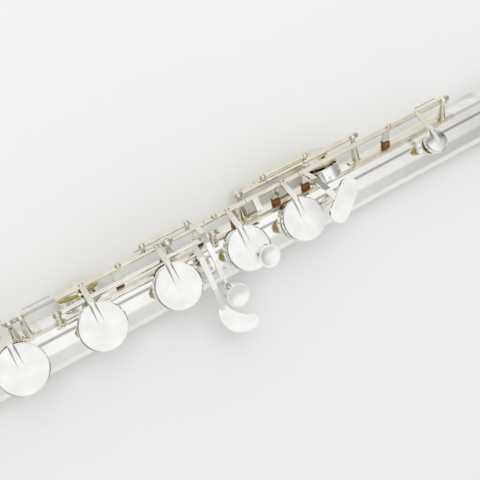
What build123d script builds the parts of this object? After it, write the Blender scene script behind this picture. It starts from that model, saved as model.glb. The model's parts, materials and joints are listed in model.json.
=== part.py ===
from build123d import *
from math import asin, cos, degrees, radians, sin
import os

# Alto flute in G with a straight head joint, closed cups and in-line G keys.
# Millimetres. Origin: on the bore axis at the open foot end. +X runs towards the crown,
# +Y is the player's side, where the hinge rods lie, and +Z is the side of the main key cups.

# ---- Tubes
TUBE_R = 10.52
BORE_R = 10.12
SLEEVE_CLEARANCE = 0.06
SLEEVE_R = 11.5
FOOT_END = 157.0
BODY_START = 158.0
SOCKET = (154.0, 171.2)
BODY_END = 540.0
BARREL = (528.0, 578.0)
HEAD_START = 541.0
HEAD_TAPER_START = 600.0
HEAD_END = 872.0
CROWN_END_R = 9.55
HEAD_WALL = 0.4
EMBOUCHURE_X = 823.0

# ---- Tone holes, cups and pads
RIM_Z = 12.8
C_SHARP_RIM = 13.4
CUP_HEIGHT = 2.2
CUP_BEVEL = 0.5
CUP_WALL = 0.45
CUP_DOME = 0.35
PAD_PROUD = 1.3
PAD_GAP = 0.05
PAD_SIDE_GAP = 0.06
CHIMNEY_WALL = 0.6
CHIMNEY_INSET = 1.0
CHIMNEY_BEAD_R = 0.3
KEY_OPEN = 8.5
THUMB_OPEN = 14.0

LOW_C_X = 50.0
LOW_C_SHARP_X = 97.6
D_SHARP_X = 142.3
D_X = 184.5
E_X = 224.4
F_X = 261.9
F_SHARP_X = 297.4
LOWER_G_X = 329.7
UPPER_G_X = 362.0
G_SHARP_X = 328.5
A_X = 394.1
B_FLAT_X = 420.4
THUMB_X = 444.8
C_SHARP_X = 491.0

FOOT_CUP_R = 10.0
RIGHT_CUP_R = 9.8
G_CUP_R = 9.6
A_CUP_R = 9.3
G_SHARP_CUP_R = 9.3
THUMB_CUP_R = 8.8
C_SHARP_CUP_R = 5.2
G_SHARP_ANGLE = -93.0
THUMB_ANGLE = -92.0
C_SHARP_ANGLE = -10.0
FOOT_ANGLE = 57.0

# ---- Hinge rods: (y, z) of each line
MAIN_LINE = (17.0, 11.0)
G_SHARP_LINE = (11.8, 12.4)
THUMB_LINE = (20.3, 8.2)
LOW_C_LINE = (20.6, 7.4)
BRIDGE_LINE = (20.6, 13.2)
THUMB_BRIDGE_LINE = (22.7, 9.9)
STEEL_R = 0.6
STEEL_HEAD_R = 1.05
STEEL_HEAD = 0.9
HINGE_BORE_R = 0.63
HINGE_R = 1.2
BRIDGE_R = 1.0
BALL_R = 2.3
SMALL_BALL_R = 1.8
PAIRED_BALL_R = 1.7
POST_BASE_R = 2.3
POST_BASE_HEIGHT = 1.0
POST_FOOT_R = 1.8
POST_NECK_R = 0.95
RIB_THICKNESS = 0.6
ARM_THICKNESS = 1.0
ARM_HALF_WIDTH = 1.4
ARM_ROOT_R = 1.3
RIDGE_R = 1.75
RIDGE_CENTRE = -0.35


# ---- Solids along the tube
def along_x(radius, start, end, line=(0.0, 0.0)):
    plane = Plane(origin=(start, line[0], line[1]), z_dir=(1, 0, 0))
    return Solid.make_cylinder(radius, end - start, plane)


def ring_x(outer, inner, start, end, line=(0.0, 0.0)):
    return along_x(outer, start, end, line) - along_x(inner, start - 1, end + 1, line)


def cone_x(start_radius, end_radius, start, end):
    plane = Plane(origin=(start, 0, 0), z_dir=(1, 0, 0))
    return Solid.make_cone(start_radius, end_radius, end - start, plane)


def bar(start, end, radius):
    direction = Vector(*end) - Vector(*start)
    plane = Plane(origin=start, z_dir=direction.normalized())
    return Solid.make_cylinder(radius, direction.length, plane)


def ball(centre, radius):
    return Pos(*centre) * Sphere(radius)


def around_tube(shape, degrees_from_top):
    """Turns a shape about the bore axis; negative angles go towards the player's side."""
    return shape.rotate(Axis.X, degrees_from_top)


def side_prism(points, start, end):
    """Extrudes a (y, z) outline along X."""
    face = Plane.YZ.offset(start) * Polygon(*points, align=None)
    return extrude(face, end - start, dir=(1, 0, 0))


def plan_prism(points, low, high):
    """Extrudes an (x, y) outline along Z."""
    face = Plane.XY.offset(low) * Polygon(*points, align=None)
    return extrude(face, high - low, dir=(0, 0, 1))


# ---- Tone holes
def chimney_solid(x, cup_radius, angle=0.0, rim=RIM_Z):
    radius = cup_radius - CHIMNEY_INSET
    chimney = Solid.make_cylinder(radius, rim - 4.0, Plane.XY.offset(4.0)).moved(Location((x, 0, 0)))
    bead = Pos(x, 0, rim - CHIMNEY_BEAD_R) * Torus(radius, CHIMNEY_BEAD_R)
    return [around_tube(chimney, angle), around_tube(bead, angle)]


def chimney_hole(x, cup_radius, angle=0.0, rim=RIM_Z):
    radius = cup_radius - CHIMNEY_INSET - CHIMNEY_WALL
    hole = Solid.make_cylinder(radius, rim + 1.0, Plane.XY).moved(Location((x, 0, 0)))
    return around_tube(hole, angle)


def pierced_tube(start, end, holes):
    tube = along_x(TUBE_R, start, end)
    for hole in holes:
        for solid in chimney_solid(*hole):
            tube = tube + solid
    tube = tube - along_x(BORE_R, start - 1, end + 1)
    for hole in holes:
        tube = tube - chimney_hole(*hole)
    return tube


# ---- Key cups, pads and arms, drawn closed over a tone hole that points up
def cup(x, radius, rim=RIM_Z):
    base = rim + PAD_PROUD + PAD_GAP
    inner = radius - CUP_WALL
    side = Polyline(
        (0, CUP_HEIGHT - CUP_WALL),
        (inner, CUP_HEIGHT - CUP_WALL),
        (inner, 0),
        (radius, 0),
        (radius, CUP_HEIGHT - CUP_BEVEL),
        (radius - CUP_BEVEL, CUP_HEIGHT),
    )
    top = ThreePointArc(
        (radius - CUP_BEVEL, CUP_HEIGHT),
        (radius * 0.55, CUP_HEIGHT + CUP_DOME * 0.7),
        (0, CUP_HEIGHT + CUP_DOME),
    )
    centre_line = Line((0, CUP_HEIGHT + CUP_DOME), (0, CUP_HEIGHT - CUP_WALL))
    section = Plane.XZ * make_face([*side.edges(), *top.edges(), *centre_line.edges()])
    return Pos(x, 0, base) * revolve(section, Axis.Z)


def pad(x, radius, rim=RIM_Z):
    outer = radius - CUP_WALL - PAD_SIDE_GAP
    top = PAD_PROUD + CUP_HEIGHT - CUP_WALL - PAD_GAP
    section = Plane.XZ * Polygon((0, 0), (outer - 0.5, 0), (outer, 0.4), (outer, top), (0, top), align=None)
    return Pos(x, 0, rim + PAD_GAP) * revolve(section, Axis.Z)


def cup_top(rim=RIM_Z):
    return rim + PAD_GAP + PAD_PROUD + CUP_HEIGHT


def cup_arm(x, radius, line=MAIN_LINE, rim=RIM_Z):
    """A pointed arm from the hinge tube over the cup's edge to just past its centre."""
    top = cup_top(rim)
    edge = radius + 0.4
    tip = -0.3 * radius
    half_widths = (
        (line[0] + HINGE_R, 1.05),
        (edge + 0.6, 1.15),
        (edge - 1.6, ARM_HALF_WIDTH),
        (0.1 * radius, 1.15),
        (tip, 0.4),
    )
    plan = [(x - half, y) for y, half in half_widths] + [(x + half, y) for y, half in reversed(half_widths)]
    profile = [
        (line[0] - 0.3, line[1]),
        (edge + 0.6, top - 0.3),
        (edge - 0.6, top - 0.05),
        (edge - 1.4, top - 0.2),
        (tip, top + 0.1),
        (tip - 0.1, top + 0.75),
        (edge - 1.6, top + ARM_THICKNESS + 0.35),
        (edge + 0.2, top + ARM_THICKNESS + 0.1),
        (line[0] + 0.5, line[1] + HINGE_R),
    ]
    arm = plan_prism(plan, 5, 25) & side_prism(profile, x - 3, x + 3)
    root = ball((x, line[0] + 0.5, line[1] + 0.5), ARM_ROOT_R)
    return arm - ridge_room(x, line[0], top) + root


def ridge_room(x, back, top):
    """What is taken off the flanks of an arm so that its back is round where it lies on the cup."""
    low = top + RIDGE_CENTRE
    block = Pos(x, 0, low + 5.0) * Box(10.0, 2 * back, 10.0)
    plane = Plane(origin=(x, -back - 1.0, low), z_dir=(0, 1, 0))
    return block - Solid.make_cylinder(RIDGE_R, 2 * back + 2.0, plane)


def hinge_tube(line, start, end):
    return along_x(HINGE_R, start, end, line)


def bored(shape, line, start, end):
    return shape - along_x(HINGE_BORE_R, start - 2, end + 2, line)


def swing(shape, line, angle):
    """Turns a shape about a hinge line; negative lifts the cups of the main line."""
    return shape.rotate(Axis((0, line[0], line[1]), (1, 0, 0)), angle)


# ---- The kicker: a foot below the hinge tube whose cork meets the tube when the key is open
KICKER_END = (12.2, 7.0)
KICKER_WIDTH = 3.2
KICKER_HALF_THICKNESS = 0.45
CORK_HALF_WIDTH = 1.25
LUG_R = 1.35
LUG_OUT = 0.9
CORK_START_R = TUBE_R + RIB_THICKNESS + 0.06


def kicker(x):
    start = (MAIN_LINE[0] - 0.6, MAIN_LINE[1] - 0.5)
    thick = KICKER_HALF_THICKNESS
    points = [
        (start[0] + thick, start[1] - thick),
        (start[0] - thick, start[1] + thick),
        (KICKER_END[0] - thick, KICKER_END[1] + 2 * thick),
        (KICKER_END[0] + thick, KICKER_END[1] - 2 * thick),
    ]
    return side_prism(points, x - KICKER_WIDTH / 2, x + KICKER_WIDTH / 2)


def kicker_cork(x):
    length = (KICKER_END[0] ** 2 + KICKER_END[1] ** 2) ** 0.5
    out = (KICKER_END[0] / length, KICKER_END[1] / length)
    across = (-out[1], out[0])
    half = CORK_HALF_WIDTH
    outer = length - 0.5
    points = [
        (out[0] * CORK_START_R + across[0] * half, out[1] * CORK_START_R + across[1] * half),
        (out[0] * CORK_START_R - across[0] * half, out[1] * CORK_START_R - across[1] * half),
        (out[0] * outer - across[0] * half, out[1] * outer - across[1] * half),
        (out[0] * outer + across[0] * half, out[1] * outer + across[1] * half),
    ]
    block = side_prism(points, x - KICKER_WIDTH / 2, x + KICKER_WIDTH / 2)
    return block - kicker_space(x)


def kicker_space(x):
    start = (MAIN_LINE[0] - 0.6, MAIN_LINE[1] - 0.5)
    wide = KICKER_HALF_THICKNESS + 0.05
    points = [
        (start[0] + wide, start[1] - wide),
        (start[0] - wide, start[1] + wide),
        (KICKER_END[0] - 3 * wide, KICKER_END[1] + 3 * wide),
        (KICKER_END[0] - wide, KICKER_END[1] - 2.5 * wide),
        (KICKER_END[0] + wide, KICKER_END[1] - 2.5 * wide),
    ]
    return side_prism(points, x - KICKER_WIDTH, x + KICKER_WIDTH)


def lug(x):
    """The small ball on a hinge tube that takes the tip of the needle spring."""
    return ball((x, MAIN_LINE[0] + LUG_OUT, MAIN_LINE[1] + LUG_OUT), LUG_R)


BRIDGE_ARM_R = 0.85


def bridge(start, end, line=MAIN_LINE, over=BRIDGE_LINE):
    """A parallel tube that carries a key past a post; its two arms have rounded heads."""
    parts = [along_x(BRIDGE_R, start, end, over)]
    for x in (start, end):
        head = ball((x, over[0], over[1]), BRIDGE_R + 0.5)
        arm = bar((x, line[0], line[1]), (x, over[0], over[1]), BRIDGE_ARM_R)
        parts += [head, arm]
    return parts


def fuse(first, *rest):
    for shape in rest:
        first = first + shape
    return first


def open_cup_key(cups, tubes, line=MAIN_LINE, kickers=(), extras=(), angle=-KEY_OPEN, rim=RIM_Z):
    """One soldered key: cups with arms on hinge tubes, drawn closed and then opened."""
    pieces = []
    for x, radius in cups:
        pieces += [cup(x, radius, rim), cup_arm(x, radius, line, rim)]
    pieces += [hinge_tube(line, start, end) for start, end in tubes]
    moved = swing(fuse(*pieces), line, angle)
    still = [kicker(x) for x in kickers] + list(extras)
    whole = fuse(moved, *still)
    for start, end in tubes:
        whole = bored(whole, line, start, end)
    return whole


# ---- Posts and springs
def post(x, line, ball_radius, seat=TUBE_R, room=None):
    """A turned post with a ball head that holds the hinge steel; it stands on radius seat."""
    reach = (line[0] ** 2 + line[1] ** 2) ** 0.5
    out = (line[0] / reach, line[1] / reach)
    foot_r = seat - 0.3
    plane = Plane(origin=(x, out[0] * foot_r, out[1] * foot_r), z_dir=(0, out[0], out[1]))
    shaft = Solid.make_cone(POST_FOOT_R, POST_NECK_R, reach - ball_radius * 0.6 - foot_r, plane)
    base = Solid.make_cylinder(POST_BASE_R, POST_BASE_HEIGHT, plane)
    steel_room = along_x(STEEL_R + 0.01, x - 5, x + 5, line)
    head = ball((x, line[0], line[1]), ball_radius) - steel_room
    whole = fuse(head, shaft - steel_room, base)
    whole = whole - along_x(seat + 0.01, x - 6, x + 6)
    return whole - room if room else whole


def post_hole(x, line):
    """The room that a post's base needs in a rib it doesn't stand on."""
    reach = (line[0] ** 2 + line[1] ** 2) ** 0.5
    plane = Plane(origin=(x, 0, 0), z_dir=(0, line[0] / reach, line[1] / reach))
    return Solid.make_cylinder(POST_BASE_R + 0.03, reach, plane)


def chimney_room(x, cup_radius):
    """The room that a chimney with its bead needs in a rib or a post's base."""
    radius = cup_radius - CHIMNEY_INSET + CHIMNEY_BEAD_R + 0.03
    return Solid.make_cylinder(radius, 2 * TUBE_R, Plane.XY).moved(Location((x, 0, 0)))


def rib(start, end, centre_angle, half_width):
    """A thin strap that follows the tube, its middle at centre_angle from the top."""
    shell = ring_x(TUBE_R + RIB_THICKNESS, TUBE_R + 0.01, start, end)
    half = degrees(asin(half_width / TUBE_R))
    reach = 20.0
    wedge = side_prism(
        [(0, 0), (-reach * sin(radians(half)), reach * cos(radians(half))),
         (reach * sin(radians(half)), reach * cos(radians(half)))],
        start - 1,
        end + 1,
    )
    return shell & around_tube(wedge, -centre_angle)


def steel(start, end, line, angle=0.0):
    """A hinge steel with a slotted head against the outer side of its last post."""
    pin = along_x(STEEL_R, start, end, line)
    head = along_x(STEEL_HEAD_R, end, end + STEEL_HEAD, line)
    slot = Pos(end + STEEL_HEAD, line[0], line[1]) * Box(0.8, 3.0, 0.35)
    return around_tube(fuse(pin, head) - slot, angle)


SPRING_LINE = (MAIN_LINE[0] + 1.9, MAIN_LINE[1] - 2.0)
SPRING_START = 2.0
SPRING_LENGTH = 11.0
SPRING_R = 0.25


def needle_spring(post_x, direction):
    start = (post_x + direction * SPRING_START, *SPRING_LINE)
    end = (post_x + direction * (SPRING_START + SPRING_LENGTH), *SPRING_LINE)
    return bar(start, end, SPRING_R)


# ---- Touches
DISH_CURVE = 5.0
BUTTON_RIM = 0.6


def button(centre, axis, radius, height):
    """A thick round finger button with a dished top; centre is the middle of its top."""
    direction = Vector(*axis).normalized()
    base = Vector(*centre) - direction * height
    plane = Plane(origin=base, z_dir=direction)
    body = Solid.make_cylinder(radius, height, plane)
    dish_r = radius * DISH_CURVE
    sag = dish_r - (dish_r ** 2 - (radius - BUTTON_RIM) ** 2) ** 0.5
    dish = ball(tuple(Vector(*centre) + direction * (dish_r - sag)), dish_r)
    return body - dish


def plate(outline_edges, low, high):
    return extrude(Plane.XY.offset(low) * make_face(outline_edges), high - low)


def stadium_plate(first, second, radius, low, high):
    """A rounded finger plate between two end centres given in plan."""
    along = (Vector(*second) - Vector(*first)).normalized()
    across = Vector(-along.Y, along.X)
    corners = [
        Vector(*first) + across * radius,
        Vector(*second) + across * radius,
        Vector(*second) - across * radius,
        Vector(*first) - across * radius,
    ]
    points = [(p.X, p.Y) for p in corners]
    body = plan_prism(points, low, high)
    for end in (first, second):
        body = body + Solid.make_cylinder(radius, high - low, Plane.XY.offset(low)).moved(
            Location((end[0], end[1], 0))
        )
    return body


def export(shape, name):
    export_step(shape, f"parts/{name}.step")


os.makedirs("parts", exist_ok=True)

# ---- Body joint
body_holes = [
    (D_X, RIGHT_CUP_R),
    (E_X, RIGHT_CUP_R),
    (F_X, RIGHT_CUP_R),
    (F_SHARP_X, RIGHT_CUP_R),
    (LOWER_G_X, G_CUP_R),
    (UPPER_G_X, G_CUP_R),
    (A_X, A_CUP_R),
    (B_FLAT_X, A_CUP_R),
    (G_SHARP_X, G_SHARP_CUP_R, G_SHARP_ANGLE),
    (THUMB_X, THUMB_CUP_R, THUMB_ANGLE),
    (C_SHARP_X, C_SHARP_CUP_R, C_SHARP_ANGLE, C_SHARP_RIM),
]
export(pierced_tube(BODY_START, BODY_END, body_holes), "body_tube")

barrel_sleeve = ring_x(SLEEVE_R, TUBE_R + SLEEVE_CLEARANCE, BARREL[0], BARREL[1])
barrel_seat = ring_x(TUBE_R + 0.1, TUBE_R, BARREL[0], BODY_END)
RING_R = SLEEVE_R + 0.7
RING_INNER_R = SLEEVE_R - 0.2
RING_WIDTH = 3.0
ring_starts = (BARREL[0], BARREL[1] - RING_WIDTH)
barrel_rings = [ring_x(RING_R, RING_INNER_R, x, x + RING_WIDTH) for x in ring_starts]
export(fuse(barrel_sleeve, barrel_seat, *barrel_rings), "barrel")

MAIN_ANGLE = degrees(asin(MAIN_LINE[0] / (MAIN_LINE[0] ** 2 + MAIN_LINE[1] ** 2) ** 0.5))
RIB_SEAT = TUBE_R + RIB_THICKNESS
RIGHT_POSTS = (174.8, 243.0, 300.4)
LEFT_POSTS = (304.9, 366.4, 505.7)
G_SHARP_POSTS = (317.0, 384.4)
THUMB_POSTS = (402.0, 459.5)
f_sharp_room = chimney_room(F_SHARP_X, RIGHT_CUP_R)
body_posts = [post(x, MAIN_LINE, SMALL_BALL_R, RIB_SEAT) for x in RIGHT_POSTS[:2]]
paired_posts = (RIGHT_POSTS[2], LEFT_POSTS[0])
body_posts += [post(x, MAIN_LINE, PAIRED_BALL_R, RIB_SEAT, f_sharp_room) for x in paired_posts]
body_posts += [post(x, MAIN_LINE, BALL_R, RIB_SEAT) for x in LEFT_POSTS[1:]]
body_posts += [post(x, G_SHARP_LINE, SMALL_BALL_R) for x in G_SHARP_POSTS]
body_posts += [post(x, THUMB_LINE, SMALL_BALL_R) for x in THUMB_POSTS]
export(Compound(children=body_posts), "body_posts")

main_cups = body_holes[:8]
rib_rooms = [chimney_room(x, radius) for x, radius in main_cups]
rib_rooms += [post_hole(G_SHARP_POSTS[1], G_SHARP_LINE)] + [post_hole(x, THUMB_LINE) for x in THUMB_POSTS]
RIB_HALF_WIDTH = 2.6
BODY_RIBS = ((171.6, 310.0), (338.5, 434.5), (455.0, 511.0))
body_ribs = []
for start, end in BODY_RIBS:
    strap = rib(start, end, MAIN_ANGLE, RIB_HALF_WIDTH)
    for room in rib_rooms:
        strap = strap - room
    body_ribs.append(strap)
export(Compound(children=body_ribs), "body_ribs")

body_steels = [
    steel(RIGHT_POSTS[0] - 1.6, RIGHT_POSTS[-1] + PAIRED_BALL_R + 0.05, MAIN_LINE),
    steel(LEFT_POSTS[0] - 1.2, LEFT_POSTS[-1] + BALL_R, MAIN_LINE),
    steel(G_SHARP_POSTS[0] - 1.5, G_SHARP_POSTS[1] + SMALL_BALL_R, G_SHARP_LINE),
    steel(THUMB_POSTS[0] - 1.5, THUMB_POSTS[1] + SMALL_BALL_R, THUMB_LINE),
]
export(Compound(children=body_steels), "body_steels")

springs = []
for low, middle, high in (RIGHT_POSTS, LEFT_POSTS):
    for x, direction in ((low, 1), (middle, -1), (middle, 1), (high, -1)):
        springs.append(needle_spring(x, direction))
export(Compound(children=springs), "body_springs")


# ---- Keys on the right-hand rod
def simple_key(name, x, radius, tube, kicker_x, extras=()):
    export(
        open_cup_key([(x, radius)], [tube], kickers=(kicker_x,), extras=extras),
        f"{name}_key",
    )
    export(swing(pad(x, radius), MAIN_LINE, -KEY_OPEN), f"{name}_pad")
    export(kicker_cork(kicker_x), f"{name}_cork")


# name, cup centre, ends of the hinge tube, kicker
RIGHT_KEYS = (
    ("d", D_X, (177.4, 207.8), 190.5),
    ("e", E_X, (208.1, 240.4), 230.4),
    ("f", F_X, (245.6, 281.5), 267.9),
    ("f_sharp", F_SHARP_X, (281.8, 297.6), 289.0),
)
for key_name, cup_x, tube_ends, kicker_x in RIGHT_KEYS:
    simple_key(key_name, cup_x, RIGHT_CUP_R, tube_ends, kicker_x)

# ---- G key: two cups, a bridge past the post, and the long arm with the third finger's button
G_TUBES = ((319.0, 363.7), (369.0, 383.0))
G_KICKERS = (343.7, 379.6)
L3_ARM_X = 379.8
L3_TOP = (382.6, -14.4, 17.0)
L3_RADIUS = 5.0
L3_AXIS = (0.0, -0.12, 0.99)
L3_HEIGHT = 3.6
l3_arm = side_prism(
    [(17.3, 12.0), (14.6, 16.0), (10.5, 17.4), (3.0, 18.1), (-5.5, 17.0), (-8.5, 14.9),
     (-8.3, 13.5), (-5.3, 15.7), (3.0, 16.8), (10.2, 16.2), (13.8, 14.9), (16.6, 11.0)],
    L3_ARM_X - 1.1,
    L3_ARM_X + 1.1,
)
l3_foot = bar((L3_ARM_X, -7.4, 14.4), (L3_TOP[0] - 0.6, -11.6, 13.4), 1.2)
g_extras = [l3_arm, l3_foot, button(L3_TOP, L3_AXIS, L3_RADIUS, L3_HEIGHT)]
g_extras += bridge(356.6, 376.2) + [lug(345.3)]
g_key = open_cup_key(
    [(LOWER_G_X, G_CUP_R), (UPPER_G_X, G_CUP_R)], G_TUBES, kickers=G_KICKERS, extras=g_extras
)
export(g_key, "g_key")
g_pads = [swing(pad(x, G_CUP_R), MAIN_LINE, -KEY_OPEN) for x in (LOWER_G_X, UPPER_G_X)]
export(Compound(children=g_pads), "g_pads")
export(Compound(children=[kicker_cork(x) for x in G_KICKERS]), "g_corks")

# ---- A key with the second finger's button on the rim of its cup
L2_TOP = (399.5, -4.9, 22.1)
L2_AXIS = (0.05, -0.06, 0.99)
above_cup = Solid.make_cylinder(30.0, 30.0, Plane.XY.offset(cup_top() - 0.1)).moved(Location((A_X, 0, 0)))
a_button = button(L2_TOP, L2_AXIS, 4.6, 6.5) & swing(above_cup, MAIN_LINE, -KEY_OPEN)
a_extras = [a_button, lug(388.0)]
simple_key("a", A_X, A_CUP_R, (383.4, 402.6), 397.0, a_extras)

# ---- B flat key, with the flat clutch arm that the A key presses
clutch = side_prism([(17.8, 11.8), (17.2, 12.6), (11.4, 12.9), (11.2, 12.0), (16.4, 11.2)], 405.4, 408.0)
simple_key("b_flat", B_FLAT_X, A_CUP_R, (402.9, 428.6), 417.0, [clutch])

# ---- C sharp key: a small cup worked by the first finger's plate
L1_LOW = 18.6
l1_plate = stadium_plate((435.6, -3.4), (443.7, 3.9), 4.3, L1_LOW, L1_LOW + 1.3)
l1_arm = plan_prism([(429.4, 18.2), (431.6, 18.2), (437.9, 3.0), (436.0, 0.6)], 5, 30) & side_prism(
    [(17.6, 11.6), (13.5, 17.0), (7.5, 19.3), (0.5, 19.8),
     (0.5, 18.7), (7.0, 18.2), (12.6, 15.8), (16.2, 11.2)],
    425,
    440,
)
c_sharp_cup = around_tube(cup(C_SHARP_X, C_SHARP_CUP_R, C_SHARP_RIM), C_SHARP_ANGLE)
c_sharp_pad = around_tube(pad(C_SHARP_X, C_SHARP_CUP_R, C_SHARP_RIM), C_SHARP_ANGLE)
C_SHARP_SIDE = (
    MAIN_LINE[0] * cos(radians(C_SHARP_ANGLE)) + MAIN_LINE[1] * sin(radians(C_SHARP_ANGLE)),
    -MAIN_LINE[0] * sin(radians(C_SHARP_ANGLE)) + MAIN_LINE[1] * cos(radians(C_SHARP_ANGLE)),
)
c_sharp_arm = around_tube(cup_arm(C_SHARP_X, C_SHARP_CUP_R, C_SHARP_SIDE, C_SHARP_RIM), C_SHARP_ANGLE)
C_SHARP_TUBE = (428.9, 503.2)
C_SHARP_KICKERS = (432.0, 474.5)
c_sharp_cup_end = swing(fuse(c_sharp_cup, c_sharp_arm), MAIN_LINE, -KEY_OPEN)
c_sharp_kickers = [kicker(x) for x in C_SHARP_KICKERS]
c_sharp_tube = hinge_tube(MAIN_LINE, *C_SHARP_TUBE)
c_sharp_key = fuse(c_sharp_cup_end, c_sharp_tube, l1_arm, l1_plate, *c_sharp_kickers, lug(475.3))
export(bored(c_sharp_key, MAIN_LINE, *C_SHARP_TUBE), "c_sharp_key")
export(swing(c_sharp_pad, MAIN_LINE, -KEY_OPEN), "c_sharp_pad")
export(Compound(children=[kicker_cork(x) for x in C_SHARP_KICKERS]), "c_sharp_corks")

# ---- G sharp key: closed at rest, its cup on the player's side and its lever on the other
G_SHARP_TUBE = (319.0, 382.4)
G_LEVER_X = 375.5
g_sharp_arm = side_prism(
    [(12.6, 12.9), (14.2, 10.2), (16.2, 9.2), (17.4, 8.3), (18.0, 7.0), (17.9, -3.4), (16.9, -3.5),
     (16.7, 7.2), (15.4, 8.6), (13.4, 9.6), (11.2, 12.0)],
    G_SHARP_X - 1.2,
    G_SHARP_X + 1.2,
)
g_lever = side_prism(
    [(12.4, 13.2), (6.0, 15.3), (0.0, 15.7), (-8.0, 14.9), (-18.0, 12.5),
     (-18.0, 11.3), (-8.0, 13.7), (0.0, 14.5), (6.0, 14.1), (11.6, 11.6)],
    G_LEVER_X - 1.1,
    G_LEVER_X + 1.1,
)
SPATULA_Z = 11.3
spatula_edges = [
    ThreePointArc((373.9, -16.5), (375.3, -27.4), (384.0, -30.9)),
    ThreePointArc((384.0, -30.9), (387.4, -28.9), (386.2, -25.6)),
    ThreePointArc((386.2, -25.6), (381.0, -22.2), (377.2, -16.5)),
    Line((377.2, -16.5), (373.9, -16.5)),
]
g_spatula = plate(spatula_edges, SPATULA_Z, SPATULA_Z + 1.2)
g_sharp_cup = around_tube(cup(G_SHARP_X, G_SHARP_CUP_R), G_SHARP_ANGLE)
g_sharp_key = fuse(hinge_tube(G_SHARP_LINE, *G_SHARP_TUBE), g_sharp_arm, g_sharp_cup, g_lever, g_spatula)
export(bored(g_sharp_key, G_SHARP_LINE, *G_SHARP_TUBE), "g_sharp_key")
export(around_tube(pad(G_SHARP_X, G_SHARP_CUP_R), G_SHARP_ANGLE), "g_sharp_pad")

# ---- Thumb key, bridged over the tube of the thumb's B flat lever
THUMB_TUBES = ((404.0, 415.2), (434.1, 457.4))
THUMB_LEVER_TUBE = (415.6, 433.7)
TOUCH_Y = 20.0
TOUCH_THICKNESS = 1.1


def thumb_touch(x):
    """A rounded plate for the thumb that hangs from the hinge tube on the player's side."""
    face = Plane.XZ.offset(-TOUCH_Y) * (Pos(x, -1.5) * RectangleRounded(8.4, 12.0, 3.0))
    neck = side_prism([(19.8, 8.0), (21.3, 8.0), (21.1, 3.0), (20.0, 3.0)], x - 1.5, x + 1.5)
    return [extrude(face, TOUCH_THICKNESS, dir=(0, 1, 0)), neck]


thumb_cup = around_tube(cup(THUMB_X, THUMB_CUP_R), THUMB_ANGLE)
thumb_arm = side_prism(
    [(20.3, 7.2), (18.9, 5.2), (17.9, 3.5), (17.8, -3.2),
     (16.6, -3.3), (16.5, 5.3), (17.9, 7.6), (19.9, 9.2)],
    THUMB_X - 1.2,
    THUMB_X + 1.2,
)
thumb_cup_end = swing(fuse(thumb_cup, thumb_arm), THUMB_LINE, THUMB_OPEN)
thumb_key = fuse(
    thumb_cup_end,
    *[hinge_tube(THUMB_LINE, start, end) for start, end in THUMB_TUBES],
    *bridge(414.2, 435.1, THUMB_LINE, THUMB_BRIDGE_LINE),
    *thumb_touch(409.3),
)
for start, end in THUMB_TUBES:
    thumb_key = bored(thumb_key, THUMB_LINE, start, end)
export(thumb_key, "thumb_key")
thumb_pad = around_tube(pad(THUMB_X, THUMB_CUP_R), THUMB_ANGLE)
export(swing(thumb_pad, THUMB_LINE, THUMB_OPEN), "thumb_pad")
thumb_lever = fuse(hinge_tube(THUMB_LINE, *THUMB_LEVER_TUBE), *thumb_touch(424.5))
export(bored(thumb_lever, THUMB_LINE, *THUMB_LEVER_TUBE), "thumb_b_flat_lever")


# ---- Foot joint, built with its rod beside the cups and then turned so that the rod lies on top
def foot(shape):
    return around_tube(shape, FOOT_ANGLE)


foot_cups = [(LOW_C_X, FOOT_CUP_R), (LOW_C_SHARP_X, FOOT_CUP_R), (D_SHARP_X, FOOT_CUP_R)]
foot_holes = [(x, radius, FOOT_ANGLE) for x, radius in foot_cups]
export(pierced_tube(0.0, FOOT_END, foot_holes), "foot_tube")
socket_sleeve = ring_x(SLEEVE_R, TUBE_R + SLEEVE_CLEARANCE, FOOT_END, SOCKET[1])
socket_seat = ring_x(SLEEVE_R, TUBE_R, SOCKET[0], FOOT_END)
socket_bead = ring_x(RING_R, RING_INNER_R, SOCKET[1] - 1.2, SOCKET[1])
foot_bead = ring_x(TUBE_R + 0.8, TUBE_R, 0.0, 2.4)
export(fuse(socket_sleeve, socket_seat, socket_bead), "foot_socket")
export(foot_bead, "foot_bead")

FOOT_POSTS = (86.0, 160.4)
LOW_C_POSTS = (42.0, 167.5)
foot_post_list = [
    post(FOOT_POSTS[0], MAIN_LINE, SMALL_BALL_R, RIB_SEAT),
    post(FOOT_POSTS[1], MAIN_LINE, SMALL_BALL_R, SLEEVE_R),
    post(LOW_C_POSTS[0], LOW_C_LINE, SMALL_BALL_R),
    post(LOW_C_POSTS[1], LOW_C_LINE, SMALL_BALL_R, SLEEVE_R),
]
export(Compound(children=[foot(p) for p in foot_post_list]), "foot_posts")
foot_rib = rib(80.0, 152.5, MAIN_ANGLE, RIB_HALF_WIDTH)
for x, radius in foot_cups[1:]:
    foot_rib = foot_rib - chimney_room(x, radius)
export(foot(foot_rib), "foot_rib")
foot_steels = [
    steel(FOOT_POSTS[0] - 1.6, FOOT_POSTS[1] + SMALL_BALL_R, MAIN_LINE, FOOT_ANGLE),
    steel(LOW_C_POSTS[0] - 1.6, LOW_C_POSTS[1] + SMALL_BALL_R, LOW_C_LINE, FOOT_ANGLE),
]
export(Compound(children=foot_steels), "foot_steels")

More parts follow.
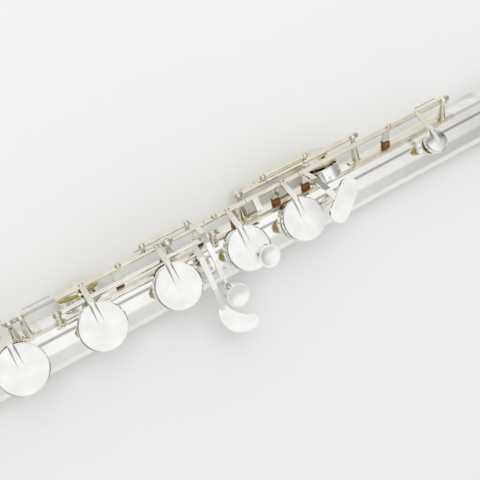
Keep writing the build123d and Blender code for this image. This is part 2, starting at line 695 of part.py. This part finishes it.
# Foot D sharp key: closed at rest, its touch on the far side of the rod
D_SHARP_TUBE = (134.2, 149.3)
d_sharp_touch = stadium_plate((137.0, 26.0), (150.0, 26.0), 4.2, 16.4, 17.6)
d_sharp_arm = side_prism(
    [(17.3, 11.6), (19.0, 15.9), (21.0, 16.6), (24.0, 16.6),
     (24.0, 17.5), (20.6, 17.6), (17.9, 16.6), (16.3, 11.8)],
    D_SHARP_X - 1.5,
    D_SHARP_X + 1.5,
)
d_sharp_key = fuse(
    cup(D_SHARP_X, FOOT_CUP_R), cup_arm(D_SHARP_X, FOOT_CUP_R), hinge_tube(MAIN_LINE, *D_SHARP_TUBE),
    d_sharp_arm, d_sharp_touch,
)
export(foot(bored(d_sharp_key, MAIN_LINE, *D_SHARP_TUBE)), "foot_d_sharp_key")
export(foot(pad(D_SHARP_X, FOOT_CUP_R)), "foot_d_sharp_pad")

# Foot C sharp key and low C key: open at rest, each with a roller beside its touch
ROLLER_R = 1.5
ROLLER_PIN_R = 0.5
ROLLER_Y = (3.2, 10.2)
ROLLER_Z = 17.3


def roller_touch(plate_x, roller_x, arm_x, line):
    """A finger plate whose fork carries a roller on a pin across the flute."""
    top = ROLLER_Z + 0.9
    low_x, high_x = sorted(plate_x)
    near, far = ROLLER_Y
    table_y = (near + far) / 2
    table_width = far - near + 2.6
    table = Pos((low_x + high_x) / 2, table_y, top - 0.6) * Box(high_x - low_x, table_width, 1.2)
    edge = high_x if roller_x > high_x else low_x
    parts = [table]
    for y in (near - 0.75, far + 0.75):
        middle = (edge + roller_x) / 2
        parts.append(Pos(middle, y, ROLLER_Z) * Box(abs(roller_x - edge) + 1.6, 0.9, 1.9))
    arm = side_prism(
        [(line[0] + 0.5, line[1] + 0.5), (line[0] - 1.5, top - 0.3), (far, top), (far - 2.0, top - 1.2),
         (line[0] - 2.6, top - 2.6), (line[0] - 0.8, line[1])],
        arm_x - 0.9,
        arm_x + 0.9,
    )
    pin = bar((roller_x, near - 1.2, ROLLER_Z), (roller_x, far + 1.2, ROLLER_Z), ROLLER_PIN_R)
    return parts + [arm, pin]


def roller(x):
    plane = Plane(origin=(x, ROLLER_Y[0], ROLLER_Z), z_dir=(0, 1, 0))
    length = ROLLER_Y[1] - ROLLER_Y[0]
    outer = Solid.make_cylinder(ROLLER_R, length, plane)
    return outer - bar((x, ROLLER_Y[0] - 1, ROLLER_Z), (x, ROLLER_Y[1] + 1, ROLLER_Z), ROLLER_PIN_R + 0.04)


FOOT_C_SHARP_TUBES = ((88.0, 133.8), (149.8, 158.3))
C_SHARP_ROLLER_X = 158.0
LOW_C_ROLLER_X = 161.4
C_SHARP_TABLE = (152.9, 156.1)
LOW_C_TABLE = (163.4, 167.2)
FOOT_KICKER_X = 108.0
foot_c_sharp_extras = bridge(132.6, 151.0) + roller_touch(C_SHARP_TABLE, C_SHARP_ROLLER_X, 154.4, MAIN_LINE)
foot_c_sharp_key = open_cup_key(
    [(LOW_C_SHARP_X, FOOT_CUP_R)], FOOT_C_SHARP_TUBES, kickers=(FOOT_KICKER_X,), extras=foot_c_sharp_extras
)
export(foot(foot_c_sharp_key), "foot_c_sharp_key")
export(foot(swing(pad(LOW_C_SHARP_X, FOOT_CUP_R), MAIN_LINE, -KEY_OPEN)), "foot_c_sharp_pad")
export(foot(kicker_cork(FOOT_KICKER_X)), "foot_c_sharp_cork")

LOW_C_TUBE = (44.0, 165.5)
LOW_C_OPEN = 7.0
low_c_extras = roller_touch(LOW_C_TABLE, LOW_C_ROLLER_X, 164.4, LOW_C_LINE)
low_c_key = open_cup_key(
    [(LOW_C_X, FOOT_CUP_R)], [LOW_C_TUBE], LOW_C_LINE, extras=low_c_extras, angle=-LOW_C_OPEN
)
export(foot(low_c_key), "foot_c_key")
export(foot(swing(pad(LOW_C_X, FOOT_CUP_R), LOW_C_LINE, -LOW_C_OPEN)), "foot_c_pad")
export(foot(roller(C_SHARP_ROLLER_X)), "c_sharp_roller")
export(foot(roller(LOW_C_ROLLER_X)), "low_c_roller")


# ---- Head joint
def head_radius(x):
    share = max(0.0, (x - HEAD_TAPER_START) / (HEAD_END - HEAD_TAPER_START))
    return TUBE_R + (CROWN_END_R - TUBE_R) * share


def head_solid(offset, start=HEAD_START, end=HEAD_END):
    straight = along_x(TUBE_R + offset, start, HEAD_TAPER_START)
    taper = cone_x(TUBE_R + offset, CROWN_END_R + offset, HEAD_TAPER_START, end)
    return straight + taper


HOLE_LONG = 6.1
HOLE_WIDE = 5.2
LIP_AXIS_Z = 3.2
LIP_R = 10.9
LIP_EDGE_R = 6.9
LIP_THICKNESS = 0.8
LIP_HALF_LENGTH = 17.0
RISER_WALL = 1.2


def ellipse_prism(long, wide, low, high):
    face = Plane.XY.offset(low) * (Pos(EMBOUCHURE_X, 0) * Ellipse(long, wide))
    return extrude(face, high - low, dir=(0, 0, 1))


def lip_revolve(offset):
    """The solid of revolution under the lip plate's outer face, less an even offset."""
    edge, middle = LIP_EDGE_R - offset, LIP_R - offset
    arc = ThreePointArc((-LIP_HALF_LENGTH, edge), (0, middle), (LIP_HALF_LENGTH, edge))
    half = LIP_HALF_LENGTH
    sides = Polyline((-half, edge), (-half, 0), (half, 0), (half, edge))
    section = Plane.XZ * make_face([*arc.edges(), *sides.edges()])
    return Pos(EMBOUCHURE_X, 0, LIP_AXIS_Z) * revolve(section, Axis.X)


CROWN_PLUG_R = 9.04
CROWN_ROOM = (860.0, 880.0)
hole = ellipse_prism(HOLE_LONG, HOLE_WIDE, 0, 30)
head_bore = head_solid(-HEAD_WALL, HEAD_START - 1, HEAD_END) + along_x(CROWN_PLUG_R + 0.06, *CROWN_ROOM)
export(head_solid(0.0) - head_bore - hole, "head_tube")
head_outer = head_solid(0.01)
lip_outline = ellipse_prism(LIP_HALF_LENGTH - 0.6, 10.4, LIP_AXIS_Z, 30)
lip_plate = (lip_revolve(0.0) - lip_revolve(LIP_THICKNESS)) & lip_outline
export(lip_plate - head_outer - hole, "lip_plate")
riser_wall = ellipse_prism(HOLE_LONG + RISER_WALL, HOLE_WIDE + RISER_WALL, 5, 30)
riser = riser_wall & lip_revolve(LIP_THICKNESS + 0.01)
export(riser - head_outer - hole, "lip_riser")

CORK_START = EMBOUCHURE_X + 22.0
CORK_LENGTH = 14.0
cork_r = head_radius(CORK_START + CORK_LENGTH + 2.5) - HEAD_WALL - 0.1
SCREW_R = 1.9
PLATE_ROOM = 1.2
PLATE_THICKNESS = 1.15
CROWN_START = HEAD_END + 0.1
screw_end = CROWN_START + 6.0
cork_end = CORK_START + CORK_LENGTH
export(ring_x(cork_r, SCREW_R + 0.01, CORK_START + PLATE_ROOM, cork_end - PLATE_ROOM), "stopper_cork")
front_plate = along_x(cork_r - 0.1, CORK_START, CORK_START + PLATE_THICKNESS)
back_plate = along_x(cork_r - 0.1, cork_end - PLATE_THICKNESS, cork_end)
export(fuse(front_plate, back_plate, along_x(SCREW_R, CORK_START, screw_end)), "stopper_screw")
CROWN_RIM_R = CROWN_END_R + 0.5
CROWN_LENGTH = 7.6
CROWN_RISE = 3.0
CROWN_PLUG = 8.0
CROWN_PLUG_BORE_R = 7.4
crown_end = CROWN_START + CROWN_LENGTH
plug_start = CROWN_START - CROWN_PLUG
crown_bead = Location((CROWN_START + 1.6, 0, 0), (0, 90, 0)) * Torus(CROWN_RIM_R, 0.5)
crown = along_x(CROWN_RIM_R, CROWN_START, crown_end) + crown_bead
DOME_STEPS = 5
for step in range(DOME_STEPS):
    low, high = radians(step * 90 / DOME_STEPS), radians((step + 1) * 90 / DOME_STEPS)
    dome_r = CROWN_RIM_R - 0.2
    start, end = crown_end + CROWN_RISE * sin(low), crown_end + CROWN_RISE * sin(high)
    crown = crown + cone_x(dome_r * cos(low), max(0.4, dome_r * cos(high)), start, end)
crown = crown + along_x(CROWN_PLUG_R, plug_start, CROWN_START)
crown = crown - along_x(CROWN_PLUG_BORE_R, plug_start - 1, CROWN_START - 1.0)
crown = crown - along_x(SCREW_R + 0.06, plug_start - 1, crown_end - 0.3)
export(crown, "crown")
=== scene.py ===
import json
import math

import bmesh
import bpy
import numpy as np
from mathutils import Matrix, Vector


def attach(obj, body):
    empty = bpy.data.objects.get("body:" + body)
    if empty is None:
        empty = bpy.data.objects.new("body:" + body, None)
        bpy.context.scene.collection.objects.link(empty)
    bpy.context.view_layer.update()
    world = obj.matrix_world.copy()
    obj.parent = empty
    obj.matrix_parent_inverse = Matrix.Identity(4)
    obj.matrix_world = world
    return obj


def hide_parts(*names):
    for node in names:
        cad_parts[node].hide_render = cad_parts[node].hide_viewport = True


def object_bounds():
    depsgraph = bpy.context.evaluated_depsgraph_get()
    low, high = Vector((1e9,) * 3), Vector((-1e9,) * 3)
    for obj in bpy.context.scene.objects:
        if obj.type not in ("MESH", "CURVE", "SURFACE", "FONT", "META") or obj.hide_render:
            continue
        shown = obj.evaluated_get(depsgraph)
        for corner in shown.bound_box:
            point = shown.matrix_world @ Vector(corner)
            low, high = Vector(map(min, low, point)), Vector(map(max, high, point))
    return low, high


# ---- Frame
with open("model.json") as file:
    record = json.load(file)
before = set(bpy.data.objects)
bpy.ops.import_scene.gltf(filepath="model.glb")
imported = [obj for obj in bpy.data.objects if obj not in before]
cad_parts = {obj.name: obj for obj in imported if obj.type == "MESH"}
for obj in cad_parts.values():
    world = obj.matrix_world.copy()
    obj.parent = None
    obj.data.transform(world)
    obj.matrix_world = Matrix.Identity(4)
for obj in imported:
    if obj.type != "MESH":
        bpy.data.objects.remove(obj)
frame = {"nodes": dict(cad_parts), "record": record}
nodes = frame["nodes"]
cad_box = [list(corner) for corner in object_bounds()]
MM = 0.001


def coords(obj):
    flat = np.empty(len(obj.data.vertices) * 3)
    obj.data.vertices.foreach_get("co", flat)
    return flat.reshape(-1, 3)


# ---- Camera: above the flute, tilted towards its foot end and towards the player's side
TILT = math.radians(16.9)
LEAN = math.radians(13.0)
ROLL = math.radians(27.93)
DISTANCE = 330.6 * MM
AIM_X = 397.8 * MM
AIM_OFFSET = 1.42 * MM
LENS = 59.25
SENSOR = 36.0

camera_back = Vector((-math.sin(TILT), math.cos(TILT) * math.sin(LEAN), math.cos(TILT) * math.cos(LEAN)))
along = Vector((math.cos(TILT), math.sin(TILT) * math.sin(LEAN), math.sin(TILT) * math.cos(LEAN)))
across = Vector((0.0, math.cos(LEAN), -math.sin(LEAN)))
camera_right = math.cos(ROLL) * along - math.sin(ROLL) * across
camera_up = math.sin(ROLL) * along + math.cos(ROLL) * across


def make_camera():
    data = bpy.data.cameras.new("camera")
    data.lens = LENS
    data.sensor_width = SENSOR
    data.clip_start = 0.01
    data.clip_end = 20.0
    camera = bpy.data.objects.new("camera", data)
    bpy.context.collection.objects.link(camera)
    place = Vector((AIM_X, 0, 0)) + AIM_OFFSET * across + DISTANCE * camera_back
    turn = Matrix((camera_right, camera_up, camera_back)).transposed().to_4x4()
    camera.matrix_world = Matrix.Translation(place) @ turn
    bpy.context.scene.camera = camera


# ---- Node helpers for materials
def new_material(name):
    material = bpy.data.materials.new(name)
    material.use_nodes = True
    tree = material.node_tree
    return material, tree, tree.nodes["Principled BSDF"]


def add(tree, kind, **values):
    node = tree.nodes.new(kind)
    for key, value in values.items():
        if key in node.inputs:
            node.inputs[key].default_value = value
        else:
            setattr(node, key, value)
    return node


def noise(tree, scale, detail=4.0, stretch=(1, 1, 1)):
    place = add(tree, "ShaderNodeTexCoord")
    mapping = add(tree, "ShaderNodeMapping")
    mapping.inputs["Scale"].default_value = stretch
    texture = add(tree, "ShaderNodeTexNoise", Scale=scale, Detail=detail)
    tree.links.new(place.outputs["Object"], mapping.inputs["Vector"])
    tree.links.new(mapping.outputs["Vector"], texture.inputs["Vector"])
    return texture.outputs["Fac"]


def ramp(tree, value, low, high):
    node = add(tree, "ShaderNodeValToRGB")
    node.color_ramp.elements[0].position = low[0]
    node.color_ramp.elements[0].color = (*low[1], 1)
    node.color_ramp.elements[1].position = high[0]
    node.color_ramp.elements[1].color = (*high[1], 1)
    tree.links.new(value, node.inputs["Fac"])
    return node.outputs["Color"]


def spread(tree, value, low, high):
    node = add(tree, "ShaderNodeMapRange")
    node.inputs["To Min"].default_value = low
    node.inputs["To Max"].default_value = high
    tree.links.new(value, node.inputs["Value"])
    return node.outputs["Result"]


def bump(tree, value, strength, distance, shader):
    node = add(tree, "ShaderNodeBump", Strength=strength, Distance=distance)
    tree.links.new(value, node.inputs["Height"])
    tree.links.new(node.outputs["Normal"], shader.inputs["Normal"])


# ---- Materials
MARKS_BUMP = 0.02 * MM


def silver(name, bright, dull, roughness, stretch):
    """Polished silver plate: slight warm tarnish, fine rubbing marks and uneven gloss."""
    material, tree, shader = new_material(name)
    shader.inputs["Metallic"].default_value = 1.0
    clouds = noise(tree, 90.0, 5.0)
    tree.links.new(ramp(tree, clouds, (0.35, dull), (0.62, bright)), shader.inputs["Base Color"])
    marks = noise(tree, 2500.0, 2.0, stretch)
    tree.links.new(spread(tree, marks, roughness * 0.6, roughness * 1.5), shader.inputs["Roughness"])
    bump(tree, marks, 0.05, MARKS_BUMP, shader)
    return material


def pad_skin():
    """Yellow skin stretched over felt, with faint wrinkles and darker patches."""
    material, tree, shader = new_material("pad_skin")
    patches = noise(tree, 420.0, 5.0)
    colour = ramp(tree, patches, (0.3, (0.66, 0.45, 0.07)), (0.7, (0.88, 0.72, 0.2)))
    tree.links.new(colour, shader.inputs["Base Color"])
    shader.inputs["Roughness"].default_value = 0.42
    shader.inputs["Subsurface Weight"].default_value = 0.1
    shader.inputs["Coat Weight"].default_value = 0.2
    bump(tree, noise(tree, 1600.0, 6.0), 0.35, 0.0001, shader)
    return material


def cork_material():
    """Reddish cork with dark pores."""
    material, tree, shader = new_material("cork")
    grain = noise(tree, 1500.0, 6.0)
    colour = ramp(tree, grain, (0.35, (0.15, 0.05, 0.018)), (0.65, (0.42, 0.17, 0.065)))
    tree.links.new(colour, shader.inputs["Base Color"])
    shader.inputs["Roughness"].default_value = 0.8
    bump(tree, noise(tree, 2400.0, 6.0), 0.6, 0.0002, shader)
    return material


def steel_material():
    """Ground steel with rings left by the grinding along each rod."""
    material, tree, shader = new_material("steel")
    shader.inputs["Metallic"].default_value = 1.0
    rings = noise(tree, 900.0, 3.0, (6, 1, 1))
    colour = ramp(tree, rings, (0.3, (0.5, 0.49, 0.46)), (0.7, (0.72, 0.7, 0.66)))
    tree.links.new(colour, shader.inputs["Base Color"])
    tree.links.new(spread(tree, rings, 0.16, 0.3), shader.inputs["Roughness"])
    return material


# Across the flute, where the keys' cool silver gives way to a warmer yellow towards the rods
ROD_SIDE = (10.5 * MM, 15.5 * MM)


def warm_key_silver():
    """Key silver whose colour turns a warmer yellow across the flute towards the hinge rods."""
    material, tree, shader = new_material("key_silver")
    shader.inputs["Metallic"].default_value = 1.0
    place = add(tree, "ShaderNodeTexCoord")
    parts = add(tree, "ShaderNodeSeparateXYZ")
    tree.links.new(place.outputs["Object"], parts.inputs[0])
    reach = add(tree, "ShaderNodeMapRange")
    reach.inputs["From Min"].default_value = ROD_SIDE[0]
    reach.inputs["From Max"].default_value = ROD_SIDE[1]
    tree.links.new(parts.outputs["Y"], reach.inputs["Value"])
    clouds = noise(tree, 160.0, 5.0)
    cool_tone = ramp(tree, clouds, (0.3, (0.84, 0.835, 0.815)), (0.68, (0.95, 0.945, 0.93)))
    warm = ramp(tree, clouds, (0.3, (0.79, 0.745, 0.61)), (0.7, (0.89, 0.86, 0.75)))
    mix = add(tree, "ShaderNodeMixRGB")
    tree.links.new(reach.outputs["Result"], mix.inputs["Fac"])
    tree.links.new(cool_tone, mix.inputs["Color1"])
    tree.links.new(warm, mix.inputs["Color2"])
    tree.links.new(mix.outputs["Color"], shader.inputs["Base Color"])
    marks = noise(tree, 2500.0, 2.0)
    tree.links.new(spread(tree, marks, 0.045, 0.11), shader.inputs["Roughness"])
    bump(tree, marks, 0.05, MARKS_BUMP, shader)
    return material


tube_silver = silver("tube_silver", (0.96, 0.95, 0.93), (0.9, 0.885, 0.84), 0.1, (1, 12, 12))
key_silver = warm_key_silver()
rod_silver = silver("rod_silver", (0.92, 0.89, 0.79), (0.78, 0.73, 0.58), 0.12, (10, 1, 1))
skin = pad_skin()
cork = cork_material()
steel = steel_material()

MATERIAL_OF = {
    "body_tube": tube_silver,
    "foot_tube": tube_silver,
    "head_tube": tube_silver,
    "body_ribs": rod_silver,
    "foot_rib": rod_silver,
    "body_posts": rod_silver,
    "foot_posts": rod_silver,
    "body_steels": steel,
    "foot_steels": steel,
    "body_springs": steel,
}


def cad_material(name):
    if "pad" in name:
        return skin
    if "cork" in name:
        return cork
    return MATERIAL_OF.get(name, key_silver)


def finish_cad_nodes():
    for name, obj in nodes.items():
        material = cad_material(name)
        if obj.material_slots:
            for slot in obj.material_slots:
                slot.material = material
        else:
            obj.data.materials.append(material)


# ---- Pads: the detailed pieces that stand for the plain discs
def disc_frame(points):
    """Centre, radius, half thickness and axis of a disc-shaped cloud of points, its axis towards the tube."""
    middle = (points.max(axis=0) + points.min(axis=0)) / 2
    values, vectors = np.linalg.eigh(np.cov((points - points.mean(axis=0)).T))
    axis = Vector(vectors[:, 0]).normalized()
    if axis.y * middle[1] + axis.z * middle[2] > 0:
        axis = -axis
    along_axis = (points - middle) @ np.array(axis)
    radial = points - middle - np.outer(along_axis, np.array(axis))
    centre = Vector(middle) + axis * float(along_axis.max() + along_axis.min()) / 2
    return centre, float(np.linalg.norm(radial, axis=1).max()), float(np.ptp(along_axis)) / 2, axis


def lathe(name, profile, steps, centre, axis, material, ripple=0.0):
    """Turns a profile of (radius, height) about an axis; ripple puckers the rim like stretched skin."""
    turn = axis.to_track_quat("Z", "Y").to_matrix().to_4x4()
    mesh = bpy.data.meshes.new(name)
    shape = bmesh.new()
    rings = []
    for radius, height in profile:
        ring = []
        for step in range(steps):
            angle = 2 * math.pi * step / steps
            wave = 1 + ripple * math.sin(24 * angle) * radius / profile[-1][0]
            point = Vector((radius * wave * math.cos(angle), radius * wave * math.sin(angle), height))
            ring.append(shape.verts.new(point))
        rings.append(ring)
    for lower, upper in zip(rings, rings[1:]):
        for step in range(steps):
            after = (step + 1) % steps
            shape.faces.new((lower[step], lower[after], upper[after], upper[step]))
    shape.faces.new(list(reversed(rings[0])))
    shape.faces.new(rings[-1])
    bmesh.ops.recalc_face_normals(shape, faces=shape.faces)
    shape.transform(Matrix.Translation(centre) @ turn)
    shape.to_mesh(mesh)
    shape.free()
    for face in mesh.polygons:
        face.use_smooth = True
    mesh.materials.append(material)
    piece = bpy.data.objects.new(name, mesh)
    bpy.context.collection.objects.link(piece)
    return piece


PAD_ROLL = 0.35 * MM
PAD_STEPS = 96
PAD_PUCKER = 0.0008
WASHER_SHARE = 0.34
WASHER_MAX = 2.6 * MM
SCREW_SHARE = 0.42


def make_pad(name, centre, radius, half, axis, body):
    """A pad with a rolled edge, held by a washer and a screw."""
    rim = PAD_ROLL
    profile = [
        (radius * 0.985, -half),
        (radius * 0.992, -half * 0.3),
        (radius * 0.992, half - 2.4 * rim),
        (radius * 0.985, half - 1.3 * rim),
        (radius - 0.9 * rim, half - 0.45 * rim),
        (radius - 2.2 * rim, half - 0.12 * rim),
        (radius * 0.72, half - 0.02 * rim),
        (radius * 0.4, half - 0.05 * rim),
    ]
    pad = lathe(name, profile, PAD_STEPS, centre, axis, skin, PAD_PUCKER)
    washer_radius = min(radius * WASHER_SHARE, WASHER_MAX)
    face = half - 0.05 * rim
    washer_profile = [
        (washer_radius, face),
        (washer_radius, face + 0.12 * MM),
        (washer_radius * 0.5, face + 0.16 * MM),
    ]
    washer = lathe(name + "_washer", washer_profile, 40, centre, axis, key_silver)
    screw_radius = washer_radius * SCREW_SHARE
    screw_profile = [
        (screw_radius, face + 0.14 * MM),
        (screw_radius, face + 0.24 * MM),
        (screw_radius * 0.6, face + 0.3 * MM),
    ]
    screw = lathe(name + "_screw", screw_profile, 32, centre, axis, steel)
    for piece in (pad, washer, screw):
        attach(piece, body)
    return pad


def split_by_x(points, gap):
    order = points[points[:, 0].argsort()]
    cuts = np.where(np.diff(order[:, 0]) > gap)[0] + 1
    return np.split(order, cuts)


def make_pads():
    bodies = frame["record"]["behaviour"]["bodies"]
    home = {node: body for body, members in bodies.items() for node in members}
    for name in sorted(nodes):
        if "pad" not in name:
            continue
        groups = split_by_x(coords(nodes[name]), 5 * MM)
        for number, points in enumerate(groups):
            centre, radius, half, axis = disc_frame(points)
            make_pad(f"{name}_skin_{number}", centre, radius, half, axis, home[name])
        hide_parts(name)


# ---- Studio
FLOOR_HALF = 3.0


def make_floor():
    low, high = cad_box
    level = low[2]
    middle = Vector(((low[0] + high[0]) / 2, 0, level))
    half = FLOOR_HALF
    shape = bmesh.new()
    corners = [(-half, -half), (half, -half), (half, half), (-half, half)]
    shape.faces.new([shape.verts.new(middle + Vector((x, y, 0))) for x, y in corners])
    mesh = bpy.data.meshes.new("floor")
    shape.to_mesh(mesh)
    shape.free()
    floor = bpy.data.objects.new("floor", mesh)
    bpy.context.collection.objects.link(floor)
    material, tree, shader = new_material("pale_floor")
    shader.inputs["Roughness"].default_value = 0.65
    shader.inputs["Specular IOR Level"].default_value = 0.2
    colour = ramp(tree, noise(tree, 3.0, 2.0), (0.3, (0.86, 0.86, 0.85)), (0.7, (0.88, 0.88, 0.87)))
    tree.links.new(colour, shader.inputs["Base Color"])
    mesh.materials.append(material)


TENT_STRENGTH = 1.0
SOFTBOX_POWER = 7.0
# A plain light tent: grey walls and two white panels, one overhead and one on the player's side.
# Angles are degrees from straight up towards the player's side.
WALL = 0.75
PANEL = 1.0
GAP = 0.3
TOP_PANEL = (-25, 20)
SIDE_PANEL = (40, 70)
PANEL_EDGE = 10
# Darker cloths hang at the two ends of the tent.
END_CLOTH = 0.4
END_START = 0.4
END_FULL = 0.8


def panel_stops():
    top_low, top_high = TOP_PANEL
    side_low, side_high = SIDE_PANEL
    return (
        (-180, WALL),
        (top_low - PANEL_EDGE, WALL),
        (top_low, PANEL),
        (top_high, PANEL),
        ((top_high + side_low) / 2, GAP),
        (side_low, PANEL),
        (side_high, PANEL),
        (side_high + PANEL_EDGE, WALL),
        (180, WALL),
    )


def tent_walls(tree, parts):
    """Brightness round the tent, by the angle about the flute's length."""
    turn = add(tree, "ShaderNodeMath")
    turn.operation = "ARCTAN2"
    tree.links.new(parts.outputs["Y"], turn.inputs[0])
    tree.links.new(parts.outputs["Z"], turn.inputs[1])
    scale = add(tree, "ShaderNodeMapRange")
    scale.inputs["From Min"].default_value = -math.pi
    scale.inputs["From Max"].default_value = math.pi
    tree.links.new(turn.outputs[0], scale.inputs["Value"])
    node = add(tree, "ShaderNodeValToRGB")
    elements = node.color_ramp.elements
    stops = panel_stops()
    for element, (degree, value) in zip((elements[0], elements[1]), (stops[0], stops[-1])):
        element.position = (degree + 180) / 360
        element.color = (value, value, value, 1)
    for degree, value in stops[1:-1]:
        element = elements.new((degree + 180) / 360)
        element.color = (value, value, value, 1)
    tree.links.new(scale.outputs["Result"], node.inputs["Fac"])
    return node.outputs["Color"]


def tent_ends(tree, parts):
    """Dims the light that comes along the flute from either end."""
    size = add(tree, "ShaderNodeMath")
    size.operation = "ABSOLUTE"
    tree.links.new(parts.outputs["X"], size.inputs[0])
    shade = add(tree, "ShaderNodeMapRange")
    shade.inputs["From Min"].default_value = END_START
    shade.inputs["From Max"].default_value = END_FULL
    shade.inputs["To Min"].default_value = TENT_STRENGTH
    shade.inputs["To Max"].default_value = TENT_STRENGTH * END_CLOTH
    tree.links.new(size.outputs[0], shade.inputs["Value"])
    return shade.outputs["Result"]


def make_world():
    """A white light tent, so that polished metal has something to mirror."""
    world = bpy.data.worlds.new("tent")
    bpy.context.scene.world = world
    world.use_nodes = True
    tree = world.node_tree
    background = tree.nodes["Background"]
    place = add(tree, "ShaderNodeTexCoord")
    parts = add(tree, "ShaderNodeSeparateXYZ")
    tree.links.new(place.outputs["Generated"], parts.inputs[0])
    tree.links.new(tent_walls(tree, parts), background.inputs["Color"])
    tree.links.new(tent_ends(tree, parts), background.inputs["Strength"])


SOFTBOX_PLACE = (AIM_X - 0.15, 0.55, 1.3)
SOFTBOX_SIZE = (0.9, 0.7)
SOFTBOX_COLOUR = (0.985, 0.99, 1.0)


def make_lights():
    data = bpy.data.lights.new("softbox", "AREA")
    data.shape = "RECTANGLE"
    data.size, data.size_y = SOFTBOX_SIZE
    data.energy = SOFTBOX_POWER
    data.color = SOFTBOX_COLOUR
    softbox = bpy.data.objects.new("softbox", data)
    bpy.context.collection.objects.link(softbox)
    place = Vector(SOFTBOX_PLACE)
    away = (place - Vector((AIM_X, 0, 0))).normalized()
    softbox.matrix_world = Matrix.Translation(place) @ away.to_track_quat("Z", "Y").to_matrix().to_4x4()
    softbox.visible_glossy = False


make_camera()
finish_cad_nodes()
make_pads()
make_floor()
make_world()
make_lights()
bpy.context.scene.view_settings.view_transform = "Standard"
